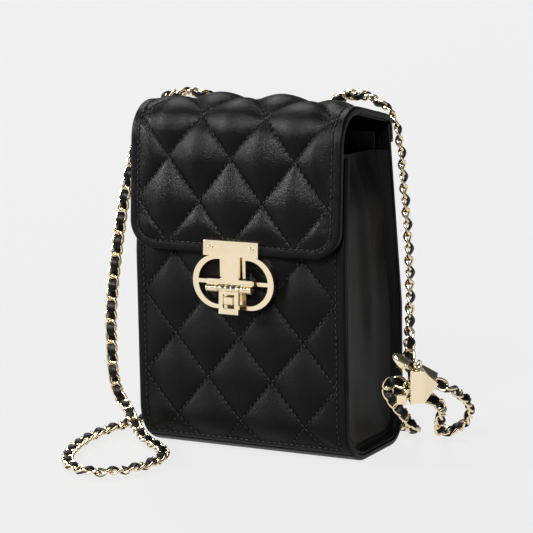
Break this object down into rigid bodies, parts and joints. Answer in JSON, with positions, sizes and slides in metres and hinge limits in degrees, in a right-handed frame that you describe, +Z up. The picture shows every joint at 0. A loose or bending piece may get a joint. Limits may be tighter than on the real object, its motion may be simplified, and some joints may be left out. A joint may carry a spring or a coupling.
{
  "type": "crossbody purse",
  "caption": "Small upright quilted leather purse with a flap, a hasp clasp on an oval ring, side gussets and a woven chain strap with a faceted slider.",
  "frame": {"origin": "on the floor under the middle of the bag body, on the flat underside of the base", "axes": "+X towards the bag's right as seen from the front, +Y from the front to the back (the clasp faces -Y), +Z up"},
  "size_m": [0.1939, 0.2069, 0.1767],
  "materials": {
    "black_leather": "soft grained, semi-gloss",
    "lining_cloth": "fine woven lining",
    "light_gold": "light gold plate, polished",
    "backing_steel": "plain",
    "stiff_board": "matte",
    "woven_strap": "leather strip woven through light gold links"
  },
  "bodies": {
    "bag": {"base_panel": "black_leather", "base_board": "stiff_board", "front_panel": "black_leather", "back_panel": "black_leather", "gusset_left": "black_leather", "gusset_right": "black_leather", "lining_front": "lining_cloth", "lining_back": "lining_cloth", "lining_base": "lining_cloth", "lining_left": "lining_cloth", "lining_right": "lining_cloth", "card_pocket": "lining_cloth", "clasp_ring": "light_gold", "ring_posts": "light_gold", "ring_backing": "backing_steel", "catch_block": "light_gold", "lug_left": "black_leather", "lug_right": "black_leather", "lug_rivets": "light_gold", "end_link_left": "light_gold", "end_link_right": "light_gold", "strap": "woven_strap"},
    "flap": {"flap_outer": "black_leather", "flap_lining": "black_leather", "clasp_plate": "light_gold", "plate_screws": "light_gold", "plate_backing": "backing_steel", "clasp_pin": "light_gold"},
    "tongue": {"clasp_tongue": "light_gold"},
    "ring_left": {"d_ring_left": "light_gold"},
    "ring_right": {"d_ring_right": "light_gold"},
    "slider": {"slider_sleeves": "light_gold", "slider_bead": "light_gold", "slider_bell": "light_gold", "slider_cube": "light_gold", "slider_loop": "light_gold"}
  },
  "joints": [
    {"name": "flap_hinge", "type": "hinge", "parent": "bag", "child": "flap", "pos_m": [0, 0.01862, 0.16434], "axis": [-1, 0, 0], "range_deg": [0, 95]},
    {"name": "tongue_swing", "type": "hinge", "parent": "flap", "child": "tongue", "pos_m": [0, -0.04181, 0.08596], "axis": [-1, 0, 0], "range_deg": [0, 110]},
    {"name": "ring_left_swing", "type": "hinge", "parent": "bag", "child": "ring_left", "pos_m": [-0.016, 0.02591, 0.14], "axis": [-1, 0, 0], "range_deg": [0, 15]},
    {"name": "ring_right_swing", "type": "hinge", "parent": "bag", "child": "ring_right", "pos_m": [0.016, 0.02591, 0.14], "axis": [-1, 0, 0], "range_deg": [0, 15]},
    {"name": "slider_slide", "type": "slide", "parent": "bag", "child": "slider", "axis": [0.75, 0.433, -0.5], "range_m": [0, 0.006]}
  ]
}
